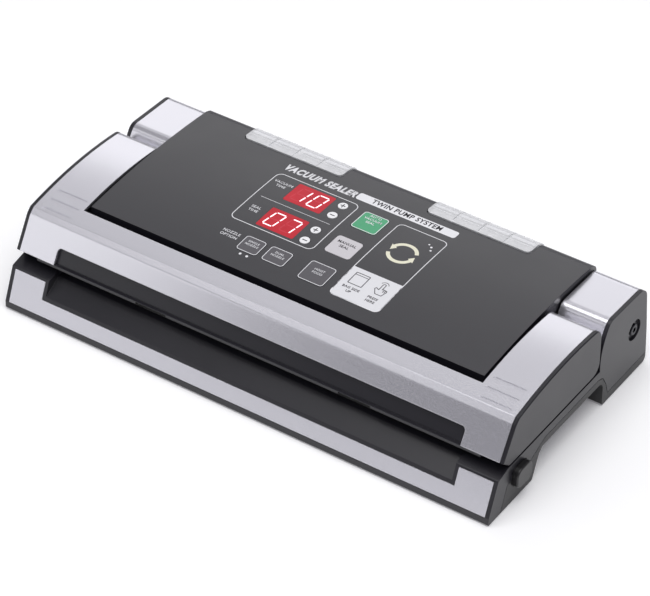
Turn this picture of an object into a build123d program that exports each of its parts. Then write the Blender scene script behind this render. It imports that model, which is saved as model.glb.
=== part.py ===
from build123d import *
import os
from math import cos, pi, radians, sin, sqrt

# A double-pump nozzle vacuum sealer, in millimetres.
# +Z is up, the front faces -Y, and the origin is on the table under the middle of the case.

# Overall sizes
WIDTH = 406.0           # across both end faces
DEPTH = 207.0           # front edge to the rearmost point
SPLIT_Z = 35.0          # top of the base's end walls
LID_TOP_RISE = 42.6     # highest point of the lid above SPLIT_Z

# Walls and clearances
WALL = 2.6              # base mouldings
SKIN = 2.4              # painted lid and rear covers
END_T = 3.0             # black end plates
FIT = 0.2               # between pieces that are fixed together
SEAM = 0.4              # open line between the two base mouldings
MOVE = 0.8              # beside a part that swings
SLIDE_FIT = 0.15        # around a sliding part
PIN_FIT = 0.06          # radial, pin in its lid bore

# Lid
LID_GAP = 1.2           # end plate above the base's end walls
LID_UNDER = 6.0         # lid floor above SPLIT_Z
FLOOR_T = 2.0
FRONT_LEAN = 14.0       # how far the front face leans back up to its knee
FOLD = (34.4, 35.4)     # crisp line where the front meets the top: (from front, above SPLIT_Z)
KNEE = (30.3, 31.6)
WING_REAR = 66.6        # rear wall of the side wings, ahead of the rearmost point
WINDOW_INSET = 33.4     # end of the front window to the end face
WINDOW_TOP = 19.5
PANEL_INSET = 39.6      # panel edge to the end face of the case
PANEL_T = 3.0
PANEL_FRONT = 54.2
PANEL_GAP = 2.4         # dark line beside the panel
PANEL_FRONT_GAP = 5.8   # and ahead of it
GAP_DEEP = 7.0          # channel ahead of the panel, below the panel's underside
LIP_INSET = 18.0        # end of the black lip to the end face
NOTCH_W = 26.0

# Hinge
HINGE_BACK = 19.6
HINGE_RISE = 5.6        # hinge axis above SPLIT_Z
BARREL_R = 13.0
PIN_R = 3.0
PIN_HEAD_R = 4.4
PIN_DEPTH = 24.0        # length of pin inside the lid's barrel
RECESS_R = 8.2
OPEN_CLEAR = 0.6        # between the wings' rear wall and the rear blocks

# Base
RECESS_INSET = 32.8     # end of the bag recess to the end face
RECESS_LOW_Z = 20.5
DECK_DROP = 4.0         # deck below the base's end walls
TRIM_LOW_Z = 6.6
TRIM_T = 1.6
TRIM_BORDER = 2.6       # black edge left between the painted trim and the recess
FOOT_PROUD = 0.8        # rubber feet below the mouldings
FRONT_FOOT = 55.0       # length of the front foot block
REAR_FOOT = 60.0        # length of the rear foot block
SEAM_DROP = 3.0         # highest seam line below the deck
NECK_DROP = 5.5         # top of the arch below that seam
FRONT_SEAM_Z = 20.5
REAR_SEAM_Z = 7.5
BLOCK_TOP = 37.2        # rear blocks above SPLIT_Z

# Sealing
BAR_W = 10.0
BAR_BACK = 40.0         # middle of the heating bar, from the front
BAR_RISE = 2.7
STRIP_W = 5.0
STRIP_T = 0.25
TAPE_T = 0.15
SPONGE_W = 6.0
SPONGE_BACK = 28.5
SPONGE_RISE = 3.2
PRESS_DROP = 2.3        # silicone and sponge below the lid floor

# Nozzles, pumps and hoses
NOZZLE_X = 85.0
NOZZLE_W = 20.0
NOZZLE_T = 3.0
NOZZLE_WALL = 0.5
NOZZLE_RISE = 5.5       # middle of the nozzle above the deck
NOZZLE_TIP = 48.0
NOZZLE_LEN = 62.0
GUIDE_FRONT = 58.0
GUIDE_LEN = 60.0
GUIDE_W = 26.0
GUIDE_RISE = 2.8        # guide above the middle of its nozzle
PUMP_BACK = 44.5
MOTOR_LEN = 34.0
PUMP_W, PUMP_L = 26.0, 22.5
HOSE_R = 2.0
HOSE_BORE = 1.2
HOSE_BEND = 5.0

# Release buttons
BUTTON_Y, BUTTON_DROP = 38.0, 14.4    # from the front, below SPLIT_Z
BUTTON_W, BUTTON_H, BUTTON_R = 19.0, 16.0, 6.0
BUTTON_PROUD = 4.5
BUTTON_DEEP = 12.5
SWITCH_TILT = 8.0       # rocker switch, each side of level

# Keys and display: (x, from front, width, height)
KEY_PROUD = 0.25
KEY_T = 2.2
KEY_R = 2.6
KEYS = {
    "key_auto": (12.3, 145.0, 20.5, 20.8),
    "key_manual": (12.5, 111.9, 21.0, 19.8),
    "key_moist": (12.5, 79.1, 21.0, 20.2),
    "key_single_nozzle": (-42.5, 79.1, 17.0, 15.5),
    "key_dual_nozzle": (-20.7, 79.0, 18.1, 15.5),
}
ROUND_KEY_R = 3.7
ROUND_KEYS = {
    "key_vacuum_plus": (-14.6, 151.0),
    "key_vacuum_minus": (-14.6, 137.6),
    "key_seal_plus": (-14.6, 117.0),
    "key_seal_minus": (-14.6, 103.6),
}
DISPLAYS = {
    "display_window_vacuum": (-38.9, 144.7),
    "display_window_seal": (-38.5, 110.9),
}
DISPLAY_W, DISPLAY_H = 31.2, 22.2

# Filter cups at the lid's rear edge
CUP_IN, CUP_OUT = 36.0, 121.0
CUP_FRONT_BACK = 27.0   # front edge, ahead of the rearmost point
CUP_DEEP = 15.0
CUP_T = 1.8
CUP_PROUD = 0.9
CUP_RIBS = 4
CUP_CORNER_R = 4.0
CUP_GAP = 0.7           # around a cup in the lid

# Power entry
INLET_INSET, INLET_Z = 21.0, 20.0     # middle of each, from the end face and the table
INLET_W, INLET_H = 24.0, 16.0
SWITCH_W, SWITCH_H = 13.0, 17.0
SWITCH_BACK = 5.0       # rocker's axis
SWITCH_PIVOT_R = 1.0
BOARD_T = 1.6

HALF = WIDTH / 2
BODY_HALF = HALF - END_T
LID_HALF = HALF - PANEL_INSET
BLOCK_IN = LID_HALF + MOVE
RECESS_HALF = HALF - RECESS_INSET
LID_FLOOR_Z = SPLIT_Z + LID_UNDER
COVER_Z = LID_FLOOR_Z + FLOOR_T + 0.1
HINGE_Z = SPLIT_Z + HINGE_RISE
OPEN_CLEAR_R = WING_REAR - HINGE_BACK - OPEN_CLEAR    # rear blocks' front face, about the hinge
DECK_Z = SPLIT_Z - DECK_DROP
SEAM_Z = DECK_Z - SEAM_DROP
NECK_Z = SEAM_Z - NECK_DROP
BAR_HALF = RECESS_HALF - 6.0
WINDOW_HALF = HALF - WINDOW_INSET
LIP_HALF = HALF - LIP_INSET
INLET_X = HALF - INLET_INSET
NOZZLE_Z = DECK_Z + NOZZLE_RISE
GUIDE_TOP = NOZZLE_Z + GUIDE_RISE
PUMP_LOW, PUMP_TOP = FOOT_PROUD + WALL + 0.4, DECK_Z - WALL - 1.6
PUMP_Z = (PUMP_LOW + PUMP_TOP) / 2
MOTOR_R = min(10.6, (PUMP_TOP - PUMP_LOW) / 2 - 0.9)
BUTTON_Z = SPLIT_Z - BUTTON_DROP
BOARD_Z = SPLIT_Z + LID_TOP_RISE - 13.5
SIDES = {"left": -1, "right": 1}


def front(distance):
    """y of a place that far behind the front edge."""
    return distance - DEPTH / 2


def back(distance):
    """y of a place that far ahead of the rearmost point."""
    return DEPTH / 2 - distance


HINGE_Y = back(HINGE_BACK)


def face_of(*edges):
    return make_face(Curve() + list(edges))


def rounded(face, *corners):
    """The face with the corner nearest each (y, z) rounded by its radius."""
    for y, z, radius in corners:
        face = fillet(face.vertices().sort_by_distance((y, z, 0))[0], radius)
    return face


def polygon(*points):
    return make_face(Polyline(*points, close=True))


def prism(face, x0, x1):
    """A side-view face, drawn as (y, z), made solid from x0 to x1."""
    return Pos(X=x0) * extrude(Plane.YZ * face, x1 - x0, dir=(1, 0, 0))


def block(x0, x1, y0, y1, z0, z1):
    size = (x1 - x0, y1 - y0, z1 - z0)
    return Pos((x0 + x1) / 2, (y0 + y1) / 2, (z0 + z1) / 2) * Box(*size)


def rod(radius, x0, x1, y, z):
    return Pos((x0 + x1) / 2, y, z) * Rot(Y=90) * Cylinder(radius, x1 - x0)


def upright(radius, x, y, z0, z1):
    return Pos(x, y, (z0 + z1) / 2) * Cylinder(radius, z1 - z0)


def mirrored(shape, side):
    """A shape drawn for the right-hand end, on the asked side."""
    return shape if side > 0 else mirror(shape, Plane.YZ)


def group(shapes):
    return Compound(children=list(shapes))


# ---------------------------------------------------------------- side views

def crown(inset=0.0):
    """Top line of the lid's wings, from the fold to the rear corner."""
    fold = (front(FOLD[0]), SPLIT_Z + FOLD[1] - inset)
    rear = (back(WING_REAR), SPLIT_Z + LID_TOP_RISE - 3.2 - inset)
    middle = ((fold[0] + rear[0]) / 2, SPLIT_Z + LID_TOP_RISE - 0.8 - inset)
    return fold, middle, rear


def lid_face(*skirt):
    """Side view of the lid's wings; skirt adds lower corners between the rear wall and the front."""
    fold, middle, rear = crown()
    knee = (front(KNEE[0]), SPLIT_Z + KNEE[1])
    low = skirt or [(rear[0], COVER_Z)]
    face = face_of(
        Polyline((rear[0], rear[1]), *low, (knee[0] - FRONT_LEAN, COVER_Z), knee, fold),
        ThreePointArc(fold, middle, rear),
    )
    return rounded(face, (knee[0], knee[1], 8.0), (rear[0], rear[1], 9.0))


def panel_line():
    """Crowned top line of the control panel, and its rear top corner."""
    start = (front(PANEL_FRONT), SPLIT_Z + LID_TOP_RISE - 3.8)
    middle = ((front(PANEL_FRONT) + back(19.0)) / 2, SPLIT_Z + LID_TOP_RISE)
    end = (back(15.0), SPLIT_Z + LID_TOP_RISE - 2.9)
    return start, middle, end


def lid_centre_face():
    """Side view of the lid between the rear blocks, with the panel and the hinge barrel."""
    start, middle, end = panel_line()
    shelf_z = start[1] - PANEL_T - 0.6
    knee_y, knee_z = front(KNEE[0]) + SKIN + FIT, SPLIT_Z + KNEE[1] - 2.0
    lip_y = knee_y - FRONT_LEAN + 0.6
    rear_y = HINGE_Y + BARREL_R
    face = face_of(
        ThreePointArc(start, middle, end),
        Polyline(end, (rear_y, end[1] - 3.0), (rear_y, HINGE_Z)),
        ThreePointArc((rear_y, HINGE_Z), (HINGE_Y, HINGE_Z - BARREL_R), (HINGE_Y - BARREL_R, HINGE_Z)),
        Polyline((HINGE_Y - BARREL_R, HINGE_Z), (HINGE_Y - BARREL_R, LID_FLOOR_Z), (lip_y, LID_FLOOR_Z),
                 (lip_y, COVER_Z), (knee_y, knee_z), (start[0] - PANEL_FRONT_GAP - 1.0, shelf_z - GAP_DEEP),
                 (start[0], shelf_z - GAP_DEEP), start),
    )
    return rounded(face, (rear_y, end[1] - 3.0, 7.0))


def base_face():
    """Side view of the whole base: feet, neck, end walls and rear blocks."""
    arc_z = SPLIT_Z + BLOCK_TOP - 0.8
    arc_y = HINGE_Y - sqrt(OPEN_CLEAR_R**2 - (arc_z - HINGE_Z)**2)
    foot_y = HINGE_Y - sqrt(OPEN_CLEAR_R**2 - (HINGE_Z - SPLIT_Z)**2)
    bulge = (HINGE_Y - OPEN_CLEAR_R * cos(radians(18)), HINGE_Z + OPEN_CLEAR_R * sin(radians(18)))
    top_rear = (back(5.6), SPLIT_Z + BLOCK_TOP - 2.4)
    arch_y = back(REAR_FOOT)
    face = face_of(
        Polyline((front(0), FOOT_PROUD), (front(0.3), TRIM_LOW_Z), (front(11.0), SPLIT_Z - 3.0),
                 (front(24.0), SPLIT_Z), (foot_y, SPLIT_Z)),
        ThreePointArc((foot_y, SPLIT_Z), bulge, (arc_y, arc_z)),
        Polyline((arc_y, arc_z), top_rear, (back(1.6), SPLIT_Z - 3.0), (back(0), 9.0), (back(0), FOOT_PROUD),
                 (arch_y, FOOT_PROUD), (arch_y, NECK_Z), (front(FRONT_FOOT + 12), NECK_Z),
                 (front(FRONT_FOOT + 8), NECK_Z - 3.5), (front(FRONT_FOOT), FOOT_PROUD),
                 (front(0), FOOT_PROUD)),
    )
    return rounded(face, (arc_y, arc_z, 8.0), (top_rear[0], top_rear[1], 10.0), (back(0), 0, 4.0),
                   (arch_y, NECK_Z, 6.0), (arch_y, FOOT_PROUD, 2.0), (front(FRONT_FOOT), FOOT_PROUD, 2.0),
                   (front(0), FOOT_PROUD, 1.0), (front(11.0), SPLIT_Z - 3.0, 1.5))


def pan_face(grow=0.0):
    """Everything below the seam between the two base mouldings."""
    return polygon((front(14.0) - grow, -1), (front(23.0) - grow, FRONT_SEAM_Z + grow),
                   (front(52.0) - grow, FRONT_SEAM_Z + grow), (front(70.0) - grow, SEAM_Z + grow),
                   (back(67.0) + grow, SEAM_Z + grow), (back(61.0) + grow, SEAM_Z - 2.4 + grow),
                   (back(56.0) + grow, 17.0 + grow), (back(53.0) + grow, REAR_SEAM_Z + grow),
                   (back(-2.0), REAR_SEAM_Z + grow), (back(-2.0), -1))


def recess_face(grow=0.0):
    """What the bag recess and the space under the lid take out of the base."""
    floor = DECK_Z - grow
    low = RECESS_LOW_Z - grow
    rear = HINGE_Y - OPEN_CLEAR_R * 0.99 + grow
    return polygon((front(-4), low), (front(6.1), low), (front(22.0), floor - 1.5), (front(27.0), floor),
                   (rear, floor), (rear, 90), (front(-4), 90))


def trough_face(grow=0.0):
    """What the middle of the lid takes out of the base behind the recess."""
    radius = BARREL_R + MOVE - 0.2 + grow
    floor, rear_top = DECK_Z - grow, DECK_Z - 0.4 - grow
    y_in = HINGE_Y - sqrt(radius**2 - (HINGE_Z - floor)**2)
    y_out = HINGE_Y + sqrt(radius**2 - (HINGE_Z - rear_top)**2)
    return face_of(
        Polyline((HINGE_Y - OPEN_CLEAR_R, floor), (y_in, floor)),
        ThreePointArc((y_in, floor), (HINGE_Y, HINGE_Z - radius), (y_out, rear_top)),
        Polyline((y_out, rear_top), (back(-4), rear_top), (back(-4), 90), (HINGE_Y - OPEN_CLEAR_R, 90),
                 (HINGE_Y - OPEN_CLEAR_R, floor)),
    )


# ---------------------------------------------------------------- base shells

def lid_space(grow=0.0):
    half = RECESS_HALF + grow
    recess = prism(recess_face(grow), -half, half)
    return recess + prism(trough_face(grow), -BLOCK_IN - grow, BLOCK_IN + grow)


def base_solid():
    return prism(base_face(), -HALF, HALF) - lid_space()


def base_hollow():
    inner = offset(base_face(), -WALL)
    return prism(inner, -HALF + END_T, HALF - END_T) - lid_space(WALL)


def block_cover_face(depth):
    """Side view of a rear block's painted skin, that deep, above its lower edge."""
    skin = base_face() - offset(base_face(), -depth)
    low = SPLIT_Z + 3.0
    return skin & polygon((HINGE_Y - 60, low), (back(-4), low + 12), (back(-4), 90), (HINGE_Y - 60, 90))


def rear_cover():
    cover = prism(block_cover_face(SKIN - FIT), BLOCK_IN, BODY_HALF - FIT / 2)
    return max(cover.solids(), key=lambda s: s.volume)


def rear_cover_seat():
    seat = prism(block_cover_face(SKIN), BLOCK_IN - 0.01, BODY_HALF)
    return max(seat.solids(), key=lambda s: s.volume)


def trim_face(depth, low, high):
    lean = (front(11.0) - front(0.3)) / (SPLIT_Z - 3.0 - TRIM_LOW_Z)
    y_high = front(0.3) + lean * (high - TRIM_LOW_Z)
    y_low = front(0.3) + lean * (low - TRIM_LOW_Z)
    return polygon((y_low, low), (y_low + depth, low - 0.4 * depth), (y_high + depth, high - 0.4 * depth),
                   (y_high, high))


def front_trim():
    trim = prism(trim_face(TRIM_T - FIT, TRIM_LOW_Z + 0.2, SPLIT_Z - 4.6), -BODY_HALF + FIT, BODY_HALF - FIT)
    return trim - lid_space(TRIM_BORDER + FIT)


def button_window(grow):
    shape = RectangleRounded(BUTTON_W + 2 * grow, BUTTON_H + 2 * grow, BUTTON_R + grow)
    return prism(Pos(front(BUTTON_Y), BUTTON_Z) * shape, BODY_HALF - 1, HALF + 1)


def hook_slot(grow=0.0):
    """Slot in the base's top for the latch hook and its travel, and the matching keeper hole."""
    y = front(BUTTON_Y)
    return block(BODY_HALF - 11.5 - grow, BODY_HALF - 3.0 + grow, y - 5 - grow, y + 5 + grow,
                 SPLIT_Z - 6, LID_FLOOR_Z + 8)


def end_features():
    """Holes in the right-hand end: hinge recess, pin bore and button window."""
    recess = rod(RECESS_R, HALF - 2.0, HALF + 1, HINGE_Y, HINGE_Z)
    bore = rod(PIN_R + PIN_FIT, BLOCK_IN - 1, HALF + 1, HINGE_Y, HINGE_Z)
    return recess + bore + button_window(0.4) + hook_slot()


def end_bosses():
    """Bosses that the hinge pin passes through, and the stop behind the button's spring."""
    outer = rod(RECESS_R + 1.6, HALF - 6.0, HALF - END_T + 0.2, HINGE_Y, HINGE_Z)
    inner = rod(PIN_R + 3.0, BLOCK_IN + WALL - 0.2, BLOCK_IN + WALL + 6.0, HINGE_Y, HINGE_Z)
    y = front(BUTTON_Y)
    stop = block(BODY_HALF - 17.0, BODY_HALF - 14.0, y - 9, y + 9, BUTTON_Z - 7, SPLIT_Z - WALL + 0.2)
    return outer + inner + stop


def rear_windows(grow=0.0):
    """Openings in the back for the inlet (left) and the switch (right), and the motor vents."""
    y0, y1 = back(8), back(-3)
    inlet = block(-INLET_X - INLET_W / 2 - grow, -INLET_X + INLET_W / 2 + grow, y0, y1,
                  INLET_Z - INLET_H / 2 - grow, INLET_Z + INLET_H / 2 + grow)
    switch = block(INLET_X - SWITCH_W / 2 - grow, INLET_X + SWITCH_W / 2 + grow, y0, y1,
                   INLET_Z - SWITCH_H / 2 - grow, INLET_Z + SWITCH_H / 2 + grow)
    flange_seats = []
    for x, w, h in ((-INLET_X, INLET_W + 4, INLET_H + 4), (INLET_X, SWITCH_W + 4, SWITCH_H + 4)):
        flange_seats.append(block(x - w / 2 - grow, x + w / 2 + grow, back(2.4), y1,
                                  INLET_Z - h / 2 - grow, INLET_Z + h / 2 + grow))
    return inlet + switch + flange_seats


def vents():
    slots = []
    for side in (-1, 1):
        for i in range(9):
            x = side * (NOZZLE_X - 32 + 8 * i)
            slots.append(block(x - 1.5, x + 1.5, back(6), back(-3), 13, DECK_Z - 6))
    return slots


def base_deck(shell):
    deck = shell - prism(pan_face(SEAM), -HALF - 1, HALF + 1)
    trim_seat = prism(trim_face(TRIM_T, TRIM_LOW_Z, SPLIT_Z - 4.2), -BODY_HALF, BODY_HALF)
    deck = deck - (trim_seat - lid_space(TRIM_BORDER))
    for side in SIDES.values():
        deck = deck + mirrored(end_bosses(), side)
        deck = deck - mirrored(end_features(), side) - mirrored(rear_cover_seat(), side)
    for side in (-1, 1):
        deck = deck - upright(HOSE_R + 0.8, side * NOZZLE_X, back(PUMP_BACK + 2), DECK_Z - 8, DECK_Z + 2)
    deck = deck - block(-BAR_HALF - 0.2, BAR_HALF + 0.2, front(BAR_BACK) - BAR_W / 2 - 0.2,
                        front(BAR_BACK) + BAR_W / 2 + 0.2, DECK_Z - 1.0, DECK_Z + 1)
    deck = deck + deck_posts()
    return deck - rear_windows(0.2) - vents()


def deck_posts():
    """Posts that the pan's screws bite into."""
    posts = []
    for x, y in screw_places():
        top = DECK_Z - 2.2 if y < 0 else HINGE_Z - BARREL_R + 1.2
        posts.append(upright(3.5, x, y, FOOT_PROUD + WALL + 0.2, top) - upright(1.45, x, y, 0, 13))
    return posts


def bottom_pan(shell):
    pan = shell & prism(pan_face(), -HALF - 1, HALF + 1)
    for side in SIDES.values():
        pan = pan - mirrored(button_window(0.4), side)
    for x, y in foot_places():
        pan = pan - upright(6.2, x, y, -1, 2.0)
    for x, y in screw_places():
        pan = pan - upright(3.2, x, y, -1, FOOT_PROUD + 1.4) - upright(1.6, x, y, -1, 6)
    return pan


def foot_places():
    y_front, y_rear = front(FRONT_FOOT / 2 + 8), back(REAR_FOOT / 2)
    return [(side * (HALF - 22), y) for side in (-1, 1) for y in (y_front, y_rear)]


def screw_places():
    y_front, y_rear = front(FRONT_FOOT - 12), back(REAR_FOOT / 2)
    side = NOZZLE_X + 17.1
    return [(x, y) for x in (-side, 0, side) for y in (y_front, y_rear)]


# ---------------------------------------------------------------- lid

def lid_cover():
    shell = prism(lid_face(), -BODY_HALF + FIT / 2, BODY_HALF - FIT / 2)
    inner = offset(lid_face(), -SKIN)
    hollow = prism(inner, -BODY_HALF + SKIN, BODY_HALF - SKIN)
    drop = SKIN + 1
    lean = FRONT_LEAN / (SPLIT_Z + KNEE[1] - COVER_Z)
    cover = shell - hollow - Pos(Y=-drop * lean, Z=-drop) * hollow
    half = LID_HALF + PANEL_GAP
    cover = cover - block(-half, half, front(PANEL_FRONT) - PANEL_FRONT_GAP, back(0), COVER_Z - 1, 95)
    window = Plane.XZ * RectangleRounded(2 * WINDOW_HALF, 2 * WINDOW_TOP - 8, 3.0)
    window = Pos(0, front(10), SPLIT_Z + 4) * extrude(window, 24, dir=(0, 1, 0))
    for x, y in lid_screw_places():
        post = upright(3.5, x, y, COVER_Z + 0.1, SPLIT_Z + LID_TOP_RISE - 4.0)
        cover = cover + (post - upright(1.45, x, y, COVER_Z, COVER_Z + 12))
    return cover - window - finger_grooves()


def finger_grooves():
    """Three shallow round-ended grooves on top of each wing, where the lid is pressed down."""
    face = lid_face()
    skin = prism(face - offset(face, -0.7), -BODY_HALF, BODY_HALF)
    grooves = []
    for side in (-1, 1):
        for distance in (37.4, 46.6, 56.2):
            slot = SlotOverall(25.0, 2.2)
            tool = extrude(Pos(side * (BODY_HALF - 18.0), front(distance), SPLIT_Z + 30) * slot, 20)
            grooves.append(tool & skin)
    return grooves


def lid_cap():
    low = SPLIT_Z + LID_GAP
    face = lid_face((back(WING_REAR), low), (front(24.0), low), (front(19.5), low + 4.0))
    face = rounded(face, (back(WING_REAR), low, 9.0), (front(24.0), low, 1.0))
    plate = prism(face, BODY_HALF + FIT / 2, HALF)
    return chamfer(plate.faces().sort_by(Axis.X)[-1].edges(), 0.6)


def lid_inner_shell():
    centre = prism(lid_centre_face(), -LID_HALF + 0.2, LID_HALF - 0.2)
    nose = front(KNEE[0]) + SKIN + FIT - FRONT_LEAN + 0.6
    wing_x = BODY_HALF - FIT
    floor = block(-wing_x, wing_x, nose, back(WING_REAR) - 0.4, LID_FLOOR_Z, LID_FLOOR_Z + FLOOR_T)
    lip = block(-LIP_HALF, LIP_HALF, nose - 2.6, nose + 6, LID_FLOOR_Z - 0.8, LID_FLOOR_Z + 1.6)
    shell = centre + floor + lip
    fascia_x = WINDOW_HALF + 6
    fascia = prism(fascia_face(), -fascia_x, fascia_x)
    ledge = block(-LID_HALF - PANEL_GAP - 3, LID_HALF + PANEL_GAP + 3, front(PANEL_FRONT) - 6,
                  back(WING_REAR) - SKIN - 0.4, SPLIT_Z + 28.0, SPLIT_Z + 30.0)
    walls = ledge - block(-LID_HALF + 4, LID_HALF - 4, front(PANEL_FRONT), back(0), SPLIT_Z + 20, 95)
    shell = shell + fascia + walls - panel_body(0.12)
    bay = block(-LID_HALF + 5, LID_HALF - 5, front(PANEL_FRONT + 5.5), back(CUP_FRONT_BACK + 3),
                LID_FLOOR_Z + FLOOR_T, 95)
    shell = shell - bay
    shell = shell + board_posts()
    for x, y in lid_screw_places():
        shell = shell - upright(1.6, x, y, LID_FLOOR_Z - 1, LID_FLOOR_Z + 4)
    for side in SIDES.values():
        notch = block(side * NOZZLE_X - NOTCH_W / 2, side * NOZZLE_X + NOTCH_W / 2, nose - 4, nose + 7.0,
                      LID_FLOOR_Z - 2, LID_FLOOR_Z + 1.0)
        shell = shell - notch - mirrored(hook_slot(0.3), side) - mirrored(cup_pocket(), side)
        shell = shell - rod(PIN_R + PIN_FIT, *sorted((side * (LID_HALF - PIN_DEPTH - 1), side * HALF)),
                            HINGE_Y, HINGE_Z)
    return shell


def fascia_face():
    """Side view of the black front wall seen through the painted cover's window."""
    nose = front(KNEE[0]) - FRONT_LEAN + SKIN + FIT
    rise = SPLIT_Z + KNEE[1] - COVER_Z
    lean = FRONT_LEAN / rise
    top = COVER_Z + 0.75 * rise
    reach = lean * (top - COVER_Z)
    return polygon((nose + 0.6, COVER_Z), (nose + 0.6 + reach, top), (nose + 4 + reach, top),
                   (nose + 4, COVER_Z - 1), (nose + 0.6, COVER_Z - 1))


def panel_body(grow=0.0):
    """The control panel's plate, rolled over at the rear, before anything is cut out of it."""
    full = lid_centre_face()
    inner = offset(full, -PANEL_T - grow)
    skin = full - inner
    low = SPLIT_Z + LID_TOP_RISE - 11.2 - grow
    start = front(PANEL_FRONT) - grow
    skin = skin & polygon((start, low), (back(-4), low), (back(-4), 95), (start, 95))
    plate = prism(skin, -LID_HALF, LID_HALF)
    return max(plate.solids(), key=lambda s: s.volume)


def panel_skin(proud, depth):
    """A layer that follows the panel's crown, from proud above it to that far below."""
    start, middle, end = panel_line()
    up = [(p[0], p[1] + proud) for p in (start, middle, end)]
    down = [(p[0], p[1] - depth) for p in (end, middle, start)]
    face = face_of(ThreePointArc(*up), Line(up[2], down[0]), ThreePointArc(*down), Line(down[2], up[0]))
    return prism(face, -LID_HALF, LID_HALF)


def column(shape):
    return extrude(Pos(Z=SPLIT_Z + 20) * shape, 40)


def key_shape(place, grow=0.0):
    x, distance, width, height = place
    return Pos(x, front(distance)) * RectangleRounded(width + 2 * grow, height + 2 * grow, KEY_R + grow)


def round_key_shape(place, grow=0.0):
    return Pos(place[0], front(place[1])) * Circle(ROUND_KEY_R + grow)


def display_shape(place, grow=0.0):
    return Pos(place[0], front(place[1])) * RectangleRounded(DISPLAY_W + 2 * grow, DISPLAY_H + 2 * grow, 1.2)


def control_panel():
    panel = panel_body()
    for place in KEYS.values():
        panel = panel - column(key_shape(place, 0.3))
    for place in ROUND_KEYS.values():
        panel = panel - column(round_key_shape(place, 0.3))
    for place in DISPLAYS.values():
        panel = panel - column(display_shape(place, 0.1))
    for side in SIDES.values():
        panel = panel - mirrored(cup_pocket(), side)
    return panel


def keys():
    layer = panel_skin(KEY_PROUD, KEY_T - KEY_PROUD)
    pieces = {name: column(key_shape(place)) & layer for name, place in KEYS.items()}
    pieces.update({name: column(round_key_shape(place)) & layer for name, place in ROUND_KEYS.items()})
    return pieces


def display_windows():
    layer = panel_skin(0.05, PANEL_T - 0.6)
    return {name: column(display_shape(place)) & layer for name, place in DISPLAYS.items()}


def control_board():
    return block(-80, 80, front(62), front(168), BOARD_Z, BOARD_Z + BOARD_T)


def board_posts():
    """Moulded posts that hold the control board up under the keys."""
    low = LID_FLOOR_Z + FLOOR_T - 0.1
    return [upright(3.0, x, front(d), low, BOARD_Z) for x in (-74, 74) for d in (66, 164)]


def key_switches():
    """Tactile switches on the board, one under each key."""
    switches = []
    for place in list(KEYS.values()) + list(ROUND_KEYS.values()):
        x, y = place[0], front(place[1])
        body = block(x - 3, x + 3, y - 3, y + 3, BOARD_Z + BOARD_T + 0.05, BOARD_Z + BOARD_T + 5.6)
        switches.append(body + upright(1.7, x, y, BOARD_Z + BOARD_T + 5, BOARD_Z + BOARD_T + 6.8))
    return group(switches)


def display_modules():
    modules = []
    low = BOARD_Z + BOARD_T + 0.05
    for x, distance in DISPLAYS.values():
        y = front(distance)
        modules.append(block(x - 15, x + 15, y - 10.5, y + 10.5, low, low + 6.95))
    return group(modules)


# ---------------------------------------------------------------- filter cups

def cup_solid(grow, low_grow=0.0):
    """The space of one filter cup: it follows the lid's rolled rear edge."""
    raised = offset(lid_centre_face(), CUP_PROUD + grow)
    low = SPLIT_Z + LID_TOP_RISE - CUP_DEEP - low_grow
    zone = polygon((back(CUP_FRONT_BACK) - low_grow, low), (back(-4), low), (back(-4), 95),
                   (back(CUP_FRONT_BACK) - low_grow, 95))
    body = prism(raised & zone, CUP_IN - low_grow, CUP_OUT + low_grow)
    y_front = back(CUP_FRONT_BACK) - low_grow
    depth = 2 * CUP_FRONT_BACK
    plan = RectangleRounded(CUP_OUT - CUP_IN + 2 * low_grow, depth, CUP_CORNER_R + low_grow)
    return body & column(Pos((CUP_IN + CUP_OUT) / 2, y_front + depth / 2) * plan)


def cup_pocket():
    return cup_solid(2.0, CUP_GAP)


def filter_cup():
    cup = cup_solid(0.0)
    face = offset(lid_centre_face(), CUP_PROUD - CUP_T)
    zone = polygon((back(CUP_FRONT_BACK) + CUP_T, SPLIT_Z + LID_TOP_RISE - CUP_DEEP - 1),
                   (back(-4), SPLIT_Z + LID_TOP_RISE - CUP_DEEP - 1), (back(-4), 95),
                   (back(CUP_FRONT_BACK) + CUP_T, 95))
    hollow = prism(face & zone, CUP_IN + CUP_T, CUP_OUT - CUP_T)
    cup = cup - hollow
    pitch = (CUP_OUT - CUP_IN) / CUP_RIBS
    for i in range(1, CUP_RIBS):
        x = CUP_IN + i * pitch
        groove = block(x - 0.4, x + 0.4, back(40), back(-4), 50, 95)
        cup = cup - (groove - prism(offset(lid_centre_face(), CUP_PROUD - 0.5), x - 1, x + 1))
    return cup


def filter_foam():
    low = SPLIT_Z + LID_TOP_RISE - CUP_DEEP + 0.2
    return block(CUP_IN + CUP_T + 1, CUP_OUT - CUP_T - 1, back(CUP_FRONT_BACK) + CUP_T + 1.0, back(11.5),
                 low, low + 8.0)


# ---------------------------------------------------------------- sealing, nozzles, pumps

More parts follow.
